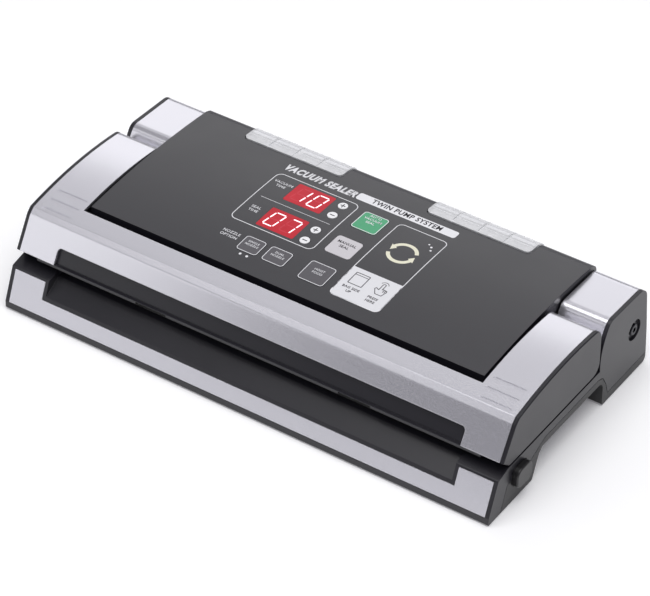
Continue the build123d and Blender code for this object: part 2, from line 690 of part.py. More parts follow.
def seal_pieces():
    y, half = front(BAR_BACK), BAR_HALF
    top = DECK_Z + BAR_RISE
    sponge_y = front(SPONGE_BACK)
    return {
        "heater_bar": block(-half, half, y - BAR_W / 2, y + BAR_W / 2, DECK_Z - 1.0, top),
        "heating_strip": block(-half + 4, half - 4, y - STRIP_W / 2, y + STRIP_W / 2, top, top + STRIP_T),
        "ptfe_tape": block(-half + 1, half - 1, y - BAR_W / 2 + 0.5, y + BAR_W / 2 - 0.5,
                           top + STRIP_T, top + STRIP_T + TAPE_T),
        "lower_sponge": block(-half, half, sponge_y - SPONGE_W / 2, sponge_y + SPONGE_W / 2,
                              DECK_Z, DECK_Z + SPONGE_RISE),
        "upper_sponge": block(-half, half, sponge_y - SPONGE_W / 2, sponge_y + SPONGE_W / 2,
                              LID_FLOOR_Z - PRESS_DROP, LID_FLOOR_Z),
        "press_strip": block(-half, half, y - BAR_W / 2 + 1, y + BAR_W / 2 - 1,
                             LID_FLOOR_Z - PRESS_DROP, LID_FLOOR_Z),
    }


def nozzle(x):
    y0 = front(NOZZLE_TIP)
    tube = block(x - NOZZLE_W / 2, x + NOZZLE_W / 2, y0, y0 + NOZZLE_LEN, NOZZLE_Z - NOZZLE_T / 2,
                 NOZZLE_Z + NOZZLE_T / 2)
    tube = fillet(tube.edges().filter_by(Axis.Y), 1.2)
    w, t = NOZZLE_W / 2 - NOZZLE_WALL, NOZZLE_T / 2 - NOZZLE_WALL
    return tube - block(x - w, x + w, y0 - 1, y0 + NOZZLE_LEN + 1, NOZZLE_Z - t, NOZZLE_Z + t)


def nozzle_guide(x):
    y0, y1 = front(GUIDE_FRONT), front(GUIDE_FRONT + GUIDE_LEN)
    body = block(x - GUIDE_W / 2, x + GUIDE_W / 2, y0, y1, DECK_Z, GUIDE_TOP)
    body = chamfer(body.edges().filter_by(Axis.Y).group_by(Axis.Z)[-1], 1.2)
    w, t = NOZZLE_W / 2 + SLIDE_FIT, NOZZLE_T / 2 + SLIDE_FIT
    channel = block(x - w, x + w, y0 - 1, y1 - 3.0, NOZZLE_Z - t, NOZZLE_Z + t)
    spigot = Pos(x, y1 + 3, NOZZLE_Z - 1.0) * Rot(X=90) * Cylinder(HOSE_BORE, 8)
    return body - channel + spigot


def hose(x):
    """Silicone tube from the guide's spigot over the deck and down to the pump."""
    z, y0 = NOZZLE_Z - 1.0, front(GUIDE_FRONT + GUIDE_LEN)
    y_end = back(PUMP_BACK + 2)
    path = FilletPolyline((x, y0 + 0.2, z), (x, y_end, z), (x, y_end, PUMP_TOP + 0.4), radius=HOSE_BEND)
    bore = HOSE_BORE + 0.02
    start = Plane((x, y0 + 0.2, z), x_dir=(1, 0, 0), z_dir=(0, 1, 0))
    tube = sweep(start * (Circle(HOSE_R) - Circle(bore)), path=path)
    wanted = pi * (HOSE_R**2 - bore**2) * path.length
    print(f"hose {path.length:.1f} mm, volume ratio {tube.volume / wanted:.4f}")
    return tube


def pump(side):
    y = back(PUMP_BACK)
    x = side * NOZZLE_X
    head = Pos(x, y, PUMP_Z) * Box(PUMP_W, PUMP_L, PUMP_TOP - PUMP_LOW)
    head = chamfer(head.edges().filter_by(Axis.X), 2.5)
    head = head - upright(HOSE_R + 0.2, x, y - 2, PUMP_TOP - 2.0, PUMP_TOP + 10)
    near = x - side * (PUMP_W / 2 + 0.1)
    far = near - side * MOTOR_LEN
    motor = chamfer(rod(MOTOR_R, *sorted((near, far)), y, PUMP_Z).edges(), 1.0)
    return head, motor + rod(4.0, *sorted((near, far - side * 2.0)), y, PUMP_Z)


def transformer():
    core = block(-BODY_HALF + 6, -BLOCK_IN - WALL - 3, back(54), back(30), 4, SPLIT_Z - 1)
    coil = block(-BODY_HALF + 4.5, -BLOCK_IN - WALL - 1.5, back(49), back(35), 9, SPLIT_Z - 6)
    return core + coil


def power_board():
    x = BLOCK_IN + WALL + 3.0
    board = block(x, x + BOARD_T, back(54), back(29), 4, SPLIT_Z + 1)
    parts = rod(5.0, x + 1.5, x + 17, back(47), 12) + rod(4.0, x + 1.5, x + 14, back(47), 25)
    chip = block(x + 1.5, x + 9, back(39), back(32), 9, SPLIT_Z - 5)
    return board + parts + chip


def power_inlet():
    y = back(0.6)
    flange = block(-INLET_X - INLET_W / 2 - 2, -INLET_X + INLET_W / 2 + 2, back(2.2), y + 0.4,
                   INLET_Z - INLET_H / 2 - 2, INLET_Z + INLET_H / 2 + 2)
    body = block(-INLET_X - INLET_W / 2, -INLET_X + INLET_W / 2, y - 18, y + 0.4,
                 INLET_Z - INLET_H / 2, INLET_Z + INLET_H / 2)
    socket = extrude(Plane((-INLET_X, y - 14, INLET_Z), x_dir=(1, 0, 0), z_dir=(0, 1, 0))
                     * RectangleRounded(INLET_W - 6, INLET_H - 6, 3.0), 20)
    return body + flange - socket


def inlet_pins():
    y = back(0.6) - 9.5
    return group([Pos(-INLET_X + dx, y, INLET_Z) * Rot(X=90) * Cylinder(1.2, 8.8) for dx in (-4.3, 4.3)])


# ---------------------------------------------------------------- hinge, buttons, switch, fixings

def hinge_pin():
    """Shoulder screw: its head lies in the end recess and its shank turns in the lid's barrel."""
    seat = HALF - 2.0
    shank = rod(PIN_R, LID_HALF - PIN_DEPTH, seat + 0.1, HINGE_Y, HINGE_Z)
    head = rod(PIN_HEAD_R, seat + 0.05, HALF - 0.1, HINGE_Y, HINGE_Z)
    head = chamfer(head.edges().sort_by(Axis.X)[-1], 0.5)
    socket = Plane((HALF - 1.3, HINGE_Y, HINGE_Z), x_dir=(0, 1, 0), z_dir=(1, 0, 0))
    return shank + head - extrude(socket * RegularPolygon(2.1, 6), 3, dir=(1, 0, 0))


def release_button():
    y, z = front(BUTTON_Y), BUTTON_Z
    x1 = HALF + BUTTON_PROUD
    x0 = x1 - BUTTON_DEEP
    key = prism(Pos(y, z) * RectangleRounded(BUTTON_W, BUTTON_H, BUTTON_R), x0, x1)
    key = fillet(key.faces().sort_by(Axis.X)[-1].edges(), 1.2)
    flange = block(x0, BODY_HALF - 0.3, y - BUTTON_W / 2 - 2, y + BUTTON_W / 2 + 2,
                   z - BUTTON_H / 2 - 2, z + BUTTON_H / 2 + 2)
    return key + flange - rod(4.2, x0 - 1, x0 + 8, y, z)


def latch_hook():
    """Arm fixed behind the button: its nose stands under the keeper hole in the lid's floor."""
    y, x = front(BUTTON_Y), HALF + BUTTON_PROUD - BUTTON_DEEP
    top = LID_FLOOR_Z - 0.5
    arm = block(x - 3, x, y - 4, y + 4, BUTTON_Z + 5.4, top)
    nose = prism_y(((x, top - 4.0), (x + 1.6, top - 2.6), (x, top)), y - 4, y + 4)
    return arm + nose


def prism_y(points, y0, y1):
    """A front-view outline of (x, z) points made solid from y0 to y1."""
    face = make_face(Polyline(*[(x, y0, z) for x, z in points], close=True))
    return extrude(face, y1 - y0, dir=(0, 1, 0))


def button_spring():
    x0, length, radius, wire = BODY_HALF - 13.7, 12.6, 3.2, 0.35
    coil = Helix(pitch=length / 6, height=length, radius=radius)
    section = Plane(origin=coil @ 0, z_dir=coil % 0) * Circle(wire)
    spring = sweep(section, path=coil)
    return Pos(x0, front(BUTTON_Y), BUTTON_Z) * Rot(Y=90) * spring


def switch_axis():
    return back(SWITCH_BACK), INLET_Z


def power_switch_frame():
    w, h, y = SWITCH_W / 2, SWITCH_H / 2, back(0.8)
    frame = block(INLET_X - w, INLET_X + w, y - 9, y + 0.3, INLET_Z - h, INLET_Z + h)
    rim = block(INLET_X - w - 2, INLET_X + w + 2, back(2.2), y + 0.6, INLET_Z - h - 2, INLET_Z + h + 2)
    well = block(INLET_X - w + 1.5, INLET_X + w - 1.5, y - 7.5, y + 2, INLET_Z - h + 1.1, INLET_Z + h - 1.1)
    seats = rod(SWITCH_PIVOT_R + PIN_FIT, INLET_X - w + 0.7, INLET_X + w - 0.7, *switch_axis())
    return frame + rim - well - seats


def power_switch():
    """Rocker with its pivots, drawn level, then tipped to its off side."""
    y, z = switch_axis()
    face = polygon((y - 2.0, z - 5.0), (y + 3.0, z - 6.2), (y + 2.0, z), (y + 3.0, z + 6.2),
                   (y - 2.0, z + 5.0))
    half = SWITCH_W / 2 - 1.8
    pivot_half = half + 0.9
    rocker = prism(face, INLET_X - half, INLET_X + half)
    rocker = rocker + rod(SWITCH_PIVOT_R, INLET_X - pivot_half, INLET_X + pivot_half, y, z)
    return rocker.rotate(Axis((0, y, z), (1, 0, 0)), -SWITCH_TILT)


def rubber_feet():
    feet = [upright(6.0, x, y, 0, 1.9) for x, y in foot_places()]
    return group([chamfer(foot.edges().sort_by(Axis.Z)[0], 0.4) for foot in feet])


def pan_screws():
    screws = []
    for x, y in screw_places():
        head = upright(2.8, x, y, FOOT_PROUD + 0.3, FOOT_PROUD + 1.35)
        cross = block(x - 1.8, x + 1.8, y - 0.3, y + 0.3, 0, FOOT_PROUD + 0.8)
        cross = cross + block(x - 0.3, x + 0.3, y - 1.8, y + 1.8, 0, FOOT_PROUD + 0.8)
        screws.append(head + upright(1.4, x, y, FOOT_PROUD + 1.2, 12) - cross)
    return group(screws)


def lid_screw_places():
    y_front, y_rear = front(PANEL_FRONT + 14), back(WING_REAR + 16)
    return [(side * (BODY_HALF - 17), y) for side in (-1, 1) for y in (y_front, y_rear)]


def lid_screws():
    screws = []
    for x, y in lid_screw_places():
        head = upright(2.8, x, y, LID_FLOOR_Z - 1.3, LID_FLOOR_Z - 0.05)
        screws.append(head + upright(1.4, x, y, LID_FLOOR_Z - 0.2, LID_FLOOR_Z + 10))
    return group(screws)


# ---------------------------------------------------------------- assembly

def shared_nodes():
    shell = base_solid() - base_hollow()
    nodes = {
        "base_deck": base_deck(shell), "bottom_pan": bottom_pan(shell), "front_trim": front_trim(),
        "lid_cover": lid_cover(), "lid_inner_shell": lid_inner_shell(), "control_panel": control_panel(),
        "control_board": control_board(), "key_switches": key_switches(),
        "display_modules": display_modules(), "transformer": transformer(), "power_board": power_board(),
        "power_inlet": power_inlet(), "inlet_pins": inlet_pins(), "power_switch": power_switch(),
        "power_switch_frame": power_switch_frame(), "rubber_feet": rubber_feet(),
        "pan_screws": pan_screws(), "lid_screws": lid_screws(),
        "air_hoses": group([hose(-NOZZLE_X), hose(NOZZLE_X)]),
    }
    nodes.update(seal_pieces())
    nodes.update(keys())
    nodes.update(display_windows())
    return nodes


def sided_nodes():
    """Pieces that the two ends share: drawn once, mirrored for the left."""
    drawn = {"rear_cover": rear_cover(), "lid_cap": lid_cap(), "hinge_pin": hinge_pin(),
             "release_button": release_button(), "latch_hook": latch_hook(),
             "button_spring": button_spring(), "filter_cup": filter_cup(), "filter_foam": filter_foam()}
    nodes = {}
    for name, side in SIDES.items():
        nodes.update({f"{piece}_{name}": mirrored(shape, side) for piece, shape in drawn.items()})
        head, motor = pump(side)
        nodes.update({f"pump_head_{name}": head, f"pump_motor_{name}": motor,
                      f"nozzle_{name}": nozzle(side * NOZZLE_X),
                      f"nozzle_guide_{name}": nozzle_guide(side * NOZZLE_X)})
    return nodes


os.makedirs("parts", exist_ok=True)
for node, shape in {**shared_nodes(), **sided_nodes()}.items():
    export_step(shape, f"parts/{node}.step")
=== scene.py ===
from math import cos, pi, sin

import bmesh
import bpy
from mathutils import Matrix, Vector
from mathutils.bvhtree import BVHTree


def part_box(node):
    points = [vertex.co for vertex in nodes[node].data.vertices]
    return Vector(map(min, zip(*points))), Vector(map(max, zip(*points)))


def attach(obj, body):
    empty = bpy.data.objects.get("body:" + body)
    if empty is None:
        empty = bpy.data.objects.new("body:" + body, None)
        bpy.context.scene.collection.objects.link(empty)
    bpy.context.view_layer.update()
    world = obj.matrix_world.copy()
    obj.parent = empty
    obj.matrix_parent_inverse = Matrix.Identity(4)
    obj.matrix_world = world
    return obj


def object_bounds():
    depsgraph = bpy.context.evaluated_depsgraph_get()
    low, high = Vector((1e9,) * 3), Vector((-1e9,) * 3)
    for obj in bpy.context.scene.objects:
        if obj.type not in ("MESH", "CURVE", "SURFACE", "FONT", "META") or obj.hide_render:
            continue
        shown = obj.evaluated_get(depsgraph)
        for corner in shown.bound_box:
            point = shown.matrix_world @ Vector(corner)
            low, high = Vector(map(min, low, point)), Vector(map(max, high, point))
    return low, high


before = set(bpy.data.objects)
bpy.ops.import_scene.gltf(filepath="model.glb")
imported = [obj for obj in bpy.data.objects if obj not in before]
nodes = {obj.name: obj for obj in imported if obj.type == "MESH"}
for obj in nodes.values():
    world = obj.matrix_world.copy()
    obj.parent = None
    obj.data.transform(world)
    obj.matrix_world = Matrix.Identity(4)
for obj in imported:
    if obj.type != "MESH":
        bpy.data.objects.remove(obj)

scene = bpy.context.scene
cadLow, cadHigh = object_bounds()
mm = 0.001
print("frame loaded:", len(nodes), "nodes")


# camera and lights

cameraSettings = {
    "place": Vector((0.9703, -1.4182, 1.4213)),
    "look": Vector((-0.4384, 0.6424, -0.6286)),
    "lens": 174.6,
}

lightSettings = {
    "sky": 0.22,
    "skyTint": (0.93, 0.92, 1.0),
    "overhead": {"place": (0.4, -0.25, 2.4), "aim": (0, 0, 0), "size": (2.4, 2.4), "power": 52},
    "rearBox": {"place": (-1.45, 2.3, 1.5), "aim": (0, 0.1, 0.07), "size": (2.6, 1.05), "power": 10.4},
    "upperBox": {"place": (-0.88, 1.43, 2.12), "aim": (0, 0.1, 0.07), "size": (2.4, 1.25), "power": 4.4},
    "leftBox": {"place": (-0.94, -0.97, 0.42), "aim": (-0.3, -0.05, 0.03), "size": (0.7, 0.7), "power": 1.5},
    "foldStrip": {"place": (-0.75, -1.02, 1.2), "aim": (0, -0.08, 0.06), "size": (1.5, 0.3), "power": 1.3},
    "floorShade": 0.95,
    "floorGlow": 0.12,
    "floorTint": (0.98, 0.97, 1.04),
}


def makeCamera():
    data = bpy.data.cameras.new("camera")
    data.lens, data.sensor_width = cameraSettings["lens"], 36.0
    data.clip_start, data.clip_end = 0.05, 30.0
    camera = bpy.data.objects.new("camera", data)
    camera.location = cameraSettings["place"]
    camera.rotation_mode = "QUATERNION"
    camera.rotation_quaternion = cameraSettings["look"].to_track_quat("-Z", "Y")
    scene.collection.objects.link(camera)
    scene.camera = camera


def makeLights():
    world = bpy.data.worlds.new("studio")
    scene.world = world
    world.use_nodes = True
    sky = world.node_tree.nodes["Background"]
    sky.inputs["Color"].default_value = (*lightSettings["skyTint"], 1.0)
    sky.inputs["Strength"].default_value = lightSettings["sky"]
    for name in ("overhead", "rearBox", "upperBox", "leftBox", "foldStrip"):
        wanted = lightSettings[name]
        data = bpy.data.lights.new(name, "AREA")
        data.shape = "RECTANGLE"
        data.size, data.size_y = wanted["size"]
        data.energy = wanted["power"]
        lamp = bpy.data.objects.new(name, data)
        lamp.location = wanted["place"]
        aim = Vector(wanted["aim"]) - Vector(wanted["place"])
        lamp.rotation_mode = "QUATERNION"
        lamp.rotation_quaternion = aim.to_track_quat("-Z", "Y")
        scene.collection.objects.link(lamp)


makeCamera()
makeLights()
scene.view_settings.view_transform = "Standard"
print("camera and lights are set")


# materials, one for each finish

class Wire:  # the output of a shader node, used like a number
    def __init__(self, paint, socket):
        self.paint, self.socket = paint, socket

    def math(self, operation, first, second=0.0):
        return self.paint.node("ShaderNodeMath", {"operation": operation}, {0: first, 1: second})

    def __add__(self, other):
        return self.math("ADD", self, other)

    def __sub__(self, other):
        return self.math("SUBTRACT", self, other)

    def __rsub__(self, other):
        return self.math("SUBTRACT", other, self)

    def __mul__(self, other):
        return self.math("MULTIPLY", self, other)

    __radd__ = __add__
    __rmul__ = __mul__


class Paint:  # one material and the nodes in it
    def __init__(self, name):
        self.material = bpy.data.materials.new(name)
        self.material.use_nodes = True
        self.tree = self.material.node_tree
        self.shader = self.tree.nodes["Principled BSDF"]

    def node(self, kind, settings=None, values=None, output=0):
        made = self.tree.nodes.new(kind)
        for key, value in (settings or {}).items():
            setattr(made, key, value)
        for key, value in (values or {}).items():
            self.feed(made.inputs[key], value)
        return Wire(self, made.outputs[output])

    def feed(self, socket, value):
        if isinstance(value, Wire):
            self.tree.links.new(value.socket, socket)
        elif isinstance(value, tuple) and len(value) == 3 and socket.type == "RGBA":
            socket.default_value = (*value, 1.0)
        else:
            socket.default_value = value

    def surface(self, **values):
        for key, value in values.items():
            self.feed(self.shader.inputs[key], value)
        return self.material

    def place(self):
        return self.node("ShaderNodeTexCoord", output="Object")

    def noise(self, scale, detail=2.0, roughness=0.5, where=None):
        return self.node("ShaderNodeTexNoise", None, {"Vector": where or self.place(), "Scale": scale,
                                                      "Detail": detail, "Roughness": roughness})

    def mix(self, factor, first, second):
        return self.node("ShaderNodeMix", {"data_type": "RGBA"}, {0: factor, 6: first, 7: second}, output=2)

    def softEdge(self, radius):
        return self.node("ShaderNodeBevel", {"samples": 4}, {"Radius": radius})

    def bump(self, height, strength, distance, normal=None):
        values = {"Height": height, "Strength": strength, "Distance": distance}
        if normal:
            values["Normal"] = normal
        return self.node("ShaderNodeBump", None, values)


def shade(level, tint=(1.0, 1.0, 1.0)):
    return tuple(level * part for part in tint)


mouldedSettings = {
    "caseBlack": {"low": 0.010, "high": 0.016, "tint": (1.0, 0.95, 1.3), "rough": 0.32, "grain": 2600,
                  "bump": 0.05, "edge": 0.5},
    "panBlack": {"low": 0.018, "high": 0.026, "tint": (1.0, 1.0, 1.03), "rough": 0.46, "grain": 1500,
                 "bump": 0.12, "edge": 0.5},
    "buttonBlack": {"low": 0.012, "high": 0.018, "tint": (1.0, 0.98, 1.04), "rough": 0.3, "grain": 3200,
                    "bump": 0.03, "edge": 0.3},
    "guideGrey": {"low": 0.07, "high": 0.09, "tint": (1.0, 1.0, 1.02), "rough": 0.5, "grain": 1800,
                  "bump": 0.08, "edge": 0.25},
    "partBlack": {"low": 0.012, "high": 0.02, "tint": (1.0, 1.0, 1.0), "rough": 0.42, "grain": 2400,
                  "bump": 0.06, "edge": 0.2},
    "rubberBlack": {"low": 0.014, "high": 0.03, "tint": (1.0, 1.0, 1.0), "rough": 0.8, "grain": 1400,
                    "bump": 0.2, "edge": 0.3},
}


def moulded(name):
    # fine spark-eroded grain with a slow change of shade over the part
    own = mouldedSettings[name]
    paint = Paint(name)
    grain = paint.noise(own["grain"], 3.0, 0.6)
    slow = paint.noise(9.0, 2.0)
    low, high = shade(own["low"], own["tint"]), shade(own["high"], own["tint"])
    colour = paint.mix(slow * 0.7 + grain * 0.3, low, high)
    normal = paint.bump(grain, own["bump"], 0.0004, paint.softEdge(own["edge"] * mm))
    rough = own["rough"] + (paint.noise(22.0, 3.0) - 0.5) * 0.1
    return paint.surface(**{"Base Color": colour, "Roughness": rough, "Normal": normal, "IOR": 1.5})


silverSettings = {"dark": 0.68, "light": 0.74, "tint": (1.0, 0.99, 1.06), "metal": 0.84, "rough": 0.26,
                  "cloud": 6.0, "flake": 9000, "edge": 0.6, "coat": 0.2, "coatRough": 0.12}


def silverPaint():
    # metal flake under a thin clear coat
    own = silverSettings
    paint = Paint("silverPaint")
    flake = paint.node("ShaderNodeTexVoronoi", None, {"Vector": paint.place(), "Scale": own["flake"]},
                       output="Color")
    sparkle = paint.node("ShaderNodeSeparateColor", None, {"Color": flake})
    colour = paint.mix(sparkle, shade(own["dark"], own["tint"]), shade(own["light"], own["tint"]))
    slow = paint.noise(own["cloud"], 3.0)
    rough = own["rough"] + (slow - 0.5) * 0.05 + (sparkle - 0.5) * 0.02
    normal = paint.bump(sparkle, 0.003, 0.0001, paint.softEdge(own["edge"] * mm))
    return paint.surface(**{"Base Color": colour, "Metallic": own["metal"], "Roughness": rough,
                            "Normal": normal, "Coat Weight": own["coat"], "Coat Roughness": own["coatRough"]})


overlaySettings = {
    "panelGraphite": {"colour": (0.011, 0.0102, 0.0155), "rough": 0.34, "coat": 0.0, "ior": 1.75,
                      "edge": 0.3},
    "keyGreen": {"colour": (0.055, 0.36, 0.17), "rough": 0.38, "coat": 0.15, "ior": 1.5, "edge": 0.3},
    "keyGrey": {"colour": (0.60, 0.58, 0.61), "rough": 0.42, "coat": 0.1, "ior": 1.5, "edge": 0.3},
    "keyDark": {"colour": (0.088, 0.084, 0.095), "rough": 0.40, "coat": 0.1, "ior": 1.5, "edge": 0.3},
    "keyWhite": {"colour": (0.86, 0.86, 0.88), "rough": 0.40, "coat": 0.1, "ior": 1.5, "edge": 0.3},
    "inkWhite": {"colour": (0.82, 0.82, 0.85), "rough": 0.5, "coat": 0.0, "ior": 1.5, "edge": 0.04},
    "inkPale": {"colour": (0.74, 0.74, 0.77), "rough": 0.5, "coat": 0.0, "ior": 1.5, "edge": 0.04},
    "inkDark": {"colour": (0.03, 0.028, 0.035), "rough": 0.5, "coat": 0.0, "ior": 1.5, "edge": 0.04},
    "inkCream": {"colour": (0.80, 0.78, 0.62), "rough": 0.5, "coat": 0.0, "ior": 1.5, "edge": 0.04},
}


def overlay(name):
    # screen-printed film: a faint orange peel and a fine speckle in the ink
    own = overlaySettings[name]
    paint = Paint(name)
    peel = paint.noise(420.0, 2.0)
    speck = paint.noise(3800.0, 2.0)
    dark = tuple(0.9 * part for part in own["colour"])
    light = tuple(1.08 * part for part in own["colour"])
    colour = paint.mix(speck * 0.6 + paint.noise(14.0) * 0.4, dark, light)
    rough = own["rough"] + (paint.noise(30.0, 3.0) - 0.5) * 0.08
    normal = paint.bump(peel + speck * 0.3, 0.05, 0.0003, paint.softEdge(own["edge"] * mm))
    return paint.surface(**{"Base Color": colour, "Roughness": rough, "Normal": normal, "IOR": own["ior"],
                            "Coat Weight": own["coat"], "Coat Roughness": 0.2})


def displayRed():
    # tinted lens over a lit diffuser, with the faint grid of the module behind it
    paint = Paint("displayRed")
    cloud = paint.noise(90.0, 2.0)
    fine = paint.noise(900.0, 2.0)
    glow = paint.mix(cloud * 0.8 + fine * 0.2, (0.40, 0.008, 0.018), (0.56, 0.014, 0.030))
    dark = paint.mix(cloud, (0.05, 0.002, 0.004), (0.08, 0.003, 0.006))
    return paint.surface(**{"Base Color": dark, "Roughness": 0.3 + fine * 0.1, "Emission Color": glow,
                            "Emission Strength": 0.95, "Specular IOR Level": 0.3})


def segmentDark():
    # segments that are off show a shade darker than the lit background
    paint = Paint("segmentDark")
    glow = paint.mix(paint.noise(500.0, 2.0), (0.26, 0.008, 0.018), (0.34, 0.010, 0.022))
    return paint.surface(**{"Base Color": glow, "Roughness": 0.4, "Emission Color": glow,
                            "Emission Strength": 0.9})


def digitLight():
    paint = Paint("digitLight")
    cloud = paint.noise(700.0, 2.0)
    glow = paint.mix(cloud, (1.0, 0.60, 0.66), (1.0, 0.86, 0.88))
    return paint.surface(**{"Base Color": glow, "Roughness": 0.4, "Emission Color": glow,
                            "Emission Strength": 0.95})


def clearPlastic():
    # clear moulding with faint flow lines
    paint = Paint("clearPlastic")
    flow = paint.noise(160.0, 3.0, 0.6)
    fine = paint.noise(1500.0, 2.0)
    normal = paint.bump(flow + fine * 0.15, 0.04, 0.0004, paint.softEdge(0.3 * mm))
    tone = paint.mix(flow, (0.86, 0.87, 0.90), (0.98, 0.98, 1.0))
    return paint.surface(**{"Base Color": tone, "Roughness": 0.12 + fine * 0.12, "Normal": normal,
                            "Alpha": 0.50 + flow * 0.12, "IOR": 1.5, "Coat Weight": 0.6,
                            "Coat Roughness": 0.05})


def frostAndHighlightPlastic():
    # the same clear moulding made whiter and less clear: the finish of the snap tabs, and the painted
    # highlight strips and line on the cups
    paint = Paint("frostAndHighlightPlastic")
    cloud = paint.noise(260.0, 3.0)
    tone = paint.mix(cloud, (0.80, 0.80, 0.83), (0.96, 0.96, 0.98))
    return paint.surface(**{"Base Color": tone, "Roughness": 0.3 + cloud * 0.2, "Alpha": 0.70 + cloud * 0.2,
                            "Normal": paint.bump(cloud, 0.03, 0.0002)})


def foamBlack():
    paint = Paint("foamBlack")
    cells = paint.node("ShaderNodeTexVoronoi", None, {"Vector": paint.place(), "Scale": 1300.0},
                       output="Distance")
    colour = paint.mix(cells, shade(0.008), shade(0.05))
    normal = paint.bump(cells, 0.6, 0.0006)
    return paint.surface(**{"Base Color": colour, "Roughness": 0.95, "Normal": normal})


def siliconeWhite():
    paint = Paint("siliconeWhite")
    cloud = paint.noise(120.0, 3.0)
    colour = paint.mix(cloud, (0.50, 0.50, 0.47), (0.62, 0.62, 0.59))
    return paint.surface(**{"Base Color": colour, "Roughness": 0.45 + cloud * 0.1, "Subsurface Weight": 0.1,
                            "Normal": paint.bump(cloud, 0.1, 0.0004, paint.softEdge(0.3 * mm))})


metalSettings = {
    "plainSteel": {"dark": (0.42, 0.42, 0.43), "light": (0.60, 0.60, 0.61), "rough": 0.28,
                   "stretch": (40, 900, 900)},
    "blackSteel": {"dark": (0.02, 0.02, 0.024), "light": (0.05, 0.05, 0.058), "rough": 0.36,
                   "stretch": (200, 200, 200)},
    "zincSteel": {"dark": (0.38, 0.39, 0.40), "light": (0.55, 0.56, 0.58), "rough": 0.40,
                  "stretch": (200, 200, 200)},
    "heatingAlloy": {"dark": (0.36, 0.33, 0.30), "light": (0.52, 0.49, 0.46), "rough": 0.34,
                     "stretch": (20, 1200, 900)},
    "brassPlate": {"dark": (0.55, 0.38, 0.12), "light": (0.80, 0.60, 0.25), "rough": 0.26,
                   "stretch": (300, 40, 300)},
}


def metal(name):
    own = metalSettings[name]
    paint = Paint(name)
    where = paint.node("ShaderNodeMapping", None, {"Vector": paint.place(), "Scale": own["stretch"]})
    lines = paint.noise(1.0, 4.0, 0.6, where)
    colour = paint.mix(lines, own["dark"], own["light"])
    rough = own["rough"] + (lines - 0.5) * 0.15
    normal = paint.bump(lines, 0.08, 0.0002, paint.softEdge(0.25 * mm))
    return paint.surface(**{"Base Color": colour, "Metallic": 1.0, "Roughness": rough, "Normal": normal})


def tapeBrown():
    # woven glass cloth under the non-stick coat
    paint = Paint("tapeBrown")
    threads = {"Vector": paint.place(), "Scale": 700.0}
    across = paint.node("ShaderNodeTexWave", {"bands_direction": "X"}, threads)
    along = paint.node("ShaderNodeTexWave", {"bands_direction": "Y"}, threads)
    weave = across * along
    colour = paint.mix(weave, (0.30, 0.21, 0.10), (0.47, 0.35, 0.20))
    return paint.surface(**{"Base Color": colour, "Roughness": 0.4 + weave * 0.1,
                            "Normal": paint.bump(weave, 0.25, 0.0001)})


def boardBrown():
    paint = Paint("boardBrown")
    where = paint.node("ShaderNodeMapping", None, {"Vector": paint.place(), "Scale": (30, 400, 400)})
    grain = paint.noise(1.0, 4.0, 0.6, where)
    colour = paint.mix(grain, (0.10, 0.045, 0.018), (0.20, 0.10, 0.045))
    normal = paint.bump(grain, 0.1, 0.0003)
    return paint.surface(**{"Base Color": colour, "Roughness": 0.55, "Normal": normal})


def boardGreen():
    # solder mask over copper tracks that run in two directions
    paint = Paint("boardGreen")
    black, white = (0, 0, 0), (1, 1, 1)
    layout = {"Vector": paint.place(), "Scale": 60.0, "Mortar Size": 0.012, "Color1": black, "Color2": black,
              "Mortar": white}
    tracks = paint.node("ShaderNodeTexBrick", None, layout)
    lit = paint.node("ShaderNodeSeparateColor", None, {"Color": tracks})
    colour = paint.mix(lit, (0.012, 0.11, 0.045), (0.03, 0.22, 0.09))
    normal = paint.bump(lit, 0.2, 0.0001)
    return paint.surface(**{"Base Color": colour, "Roughness": 0.35, "Normal": normal})


def paintNodes():
    both = ("left", "right")
    plan = [
        (silverPaint(), ["lid_cover", "front_trim", *(f"rear_cover_{s}" for s in both)]),
        (moulded("caseBlack"), ["base_deck", "lid_inner_shell", *(f"lid_cap_{s}" for s in both)]),
        (moulded("panBlack"), ["bottom_pan"]),
        (moulded("buttonBlack"), [f"{part}_{s}" for part in ("release_button", "latch_hook") for s in both]),
        (moulded("guideGrey"), [*(f"nozzle_guide_{s}" for s in both), *(f"pump_head_{s}" for s in both)]),
        (moulded("partBlack"), ["key_switches", "display_modules", "power_inlet", "power_switch_frame",
                                "power_switch"]),
        (moulded("rubberBlack"), ["rubber_feet"]),
        (overlay("panelGraphite"), ["control_panel"]),
        (overlay("keyGreen"), ["key_auto"]),
        (overlay("keyGrey"), ["key_manual"]),
        (overlay("keyDark"), ["key_moist", "key_single_nozzle", "key_dual_nozzle"]),
        (overlay("keyWhite"), ["key_vacuum_plus", "key_vacuum_minus", "key_seal_plus", "key_seal_minus"]),
        (displayRed(), ["display_window_vacuum", "display_window_seal"]),
        (clearPlastic(), [f"filter_cup_{s}" for s in both]),
        (foamBlack(), ["lower_sponge", "upper_sponge", *(f"filter_foam_{s}" for s in both)]),
        (siliconeWhite(), ["press_strip", "air_hoses"]),
        (metal("plainSteel"), ["pan_screws", "lid_screws", *(f"nozzle_{s}" for s in both),
                               *(f"button_spring_{s}" for s in both)]),
        (metal("blackSteel"), [f"hinge_pin_{s}" for s in both]),
        (metal("zincSteel"), ["transformer", *(f"pump_motor_{s}" for s in both)]),
        (metal("heatingAlloy"), ["heating_strip"]),
        (metal("brassPlate"), ["inlet_pins"]),
        (tapeBrown(), ["ptfe_tape"]),
        (boardBrown(), ["heater_bar"]),
        (boardGreen(), ["control_board", "power_board"]),
    ]
    for material, names in plan:
        for name in names:
            slots = nodes[name].data.materials
            slots.clear()
            slots.append(material)
    painted = {name for _, names in plan for name in names}
    print("painted", len(painted), "nodes, left over:", sorted(set(nodes) - painted))


paintNodes()


